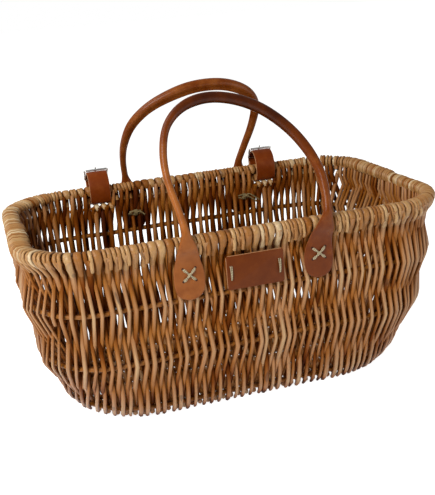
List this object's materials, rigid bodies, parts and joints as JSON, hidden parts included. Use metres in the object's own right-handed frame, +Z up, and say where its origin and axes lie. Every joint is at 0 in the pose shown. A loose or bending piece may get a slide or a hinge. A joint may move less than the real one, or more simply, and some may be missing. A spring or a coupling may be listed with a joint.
{
  "type": "bicycle basket",
  "caption": "Rounded rectangular wicker bicycle basket with a wrapped rim, swinging leather carry handles, a leather tag and buckled straps on the rear rim.",
  "frame": {"origin": "middle of the floor's underside, on the surface that the basket stands on", "axes": "+X along the basket's long side to the viewer's right, +Y towards the straps at the rear, +Z up"},
  "size_m": [0.4194, 0.298, 0.2979],
  "materials": {
    "willow_rods": "steamed willow rods, satin",
    "willow_wrap": "paler willow wrapping, satin",
    "split_ribs": "round willow ribs, satin",
    "woven_base": "woven willow, satin",
    "saddle_leather": "tan saddle leather, low sheen",
    "waxed_cord": "waxed linen cord, matt",
    "bright_buckle": "polished nickel plate"
  },
  "bodies": {
    "basket": {"woven_wall": "willow_rods", "rim_wrapping": "willow_wrap", "rim_core": "split_ribs", "upper_rib": "split_ribs", "lower_rib": "split_ribs", "foot_rib": "split_ribs", "woven_floor": "woven_base", "floor_stick_1": "split_ribs", "floor_stick_2": "split_ribs", "floor_stick_3": "split_ribs", "floor_stick_4": "split_ribs", "floor_stick_5": "split_ribs", "front_left_tab": "saddle_leather", "front_right_tab": "saddle_leather", "rear_left_tab": "saddle_leather", "rear_right_tab": "saddle_leather", "front_left_stitch": "waxed_cord", "front_right_stitch": "waxed_cord", "rear_left_stitch": "waxed_cord", "rear_right_stitch": "waxed_cord", "front_left_knot": "waxed_cord", "front_right_knot": "waxed_cord", "rear_left_knot": "waxed_cord", "rear_right_knot": "waxed_cord", "leather_tag": "saddle_leather", "tag_stitch_left": "waxed_cord", "tag_stitch_right": "waxed_cord", "left_slot_rod": "split_ribs", "right_slot_rod": "split_ribs"},
    "front_handle": {"front_handle": "saddle_leather"},
    "rear_handle": {"rear_handle": "saddle_leather"},
    "left_strap": {"left_strap": "saddle_leather"},
    "left_buckle_frame": {"left_buckle_frame": "bright_buckle"},
    "left_buckle_prong": {"left_buckle_prong": "bright_buckle"},
    "left_keeper": {"left_keeper": "saddle_leather"},
    "right_strap": {"right_strap": "saddle_leather"},
    "right_buckle_frame": {"right_buckle_frame": "bright_buckle"},
    "right_buckle_prong": {"right_buckle_prong": "bright_buckle"},
    "right_keeper": {"right_keeper": "saddle_leather"}
  },
  "joints": [
    {"name": "front_handle_swing", "type": "hinge", "parent": "basket", "child": "front_handle", "pos_m": [0, -0.1416, 0.186], "axis": [1, 0, 0], "range_deg": [-45, 110]},
    {"name": "rear_handle_swing", "type": "hinge", "parent": "basket", "child": "rear_handle", "pos_m": [0, 0.1416, 0.186], "axis": [-1, 0, 0], "range_deg": [-45, 110]},
    {"name": "left_strap_swing", "type": "hinge", "parent": "basket", "child": "left_strap", "pos_m": [-0.0968, 0.1314, 0.175], "axis": [1, 0, 0], "range_deg": [-25, 25]},
    {"name": "left_buckle_frame_lift", "type": "hinge", "parent": "left_strap", "child": "left_buckle_frame", "pos_m": [-0.0968, 0.14683, 0.18642], "axis": [-1, 0, 0], "range_deg": [0, 50]},
    {"name": "left_buckle_prong_lift", "type": "hinge", "parent": "left_buckle_frame", "child": "left_buckle_prong", "pos_m": [-0.0968, 0.14683, 0.18642], "axis": [-1, 0, 0], "range_deg": [0, 45]},
    {"name": "left_keeper_slide", "type": "slide", "parent": "left_strap", "child": "left_keeper", "axis": [0, 0.0942, 0.9956], "range_m": [-0.0025, 0.0025]},
    {"name": "right_strap_swing", "type": "hinge", "parent": "basket", "child": "right_strap", "pos_m": [0.1043, 0.1314, 0.175], "axis": [1, 0, 0], "range_deg": [-25, 25]},
    {"name": "right_buckle_frame_lift", "type": "hinge", "parent": "right_strap", "child": "right_buckle_frame", "pos_m": [0.1043, 0.14683, 0.18642], "axis": [-1, 0, 0], "range_deg": [0, 50]},
    {"name": "right_buckle_prong_lift", "type": "hinge", "parent": "right_buckle_frame", "child": "right_buckle_prong", "pos_m": [0.1043, 0.14683, 0.18642], "axis": [-1, 0, 0], "range_deg": [0, 45]},
    {"name": "right_keeper_slide", "type": "slide", "parent": "right_strap", "child": "right_keeper", "axis": [0, 0.0942, 0.9956], "range_m": [-0.0025, 0.0025]}
  ]
}
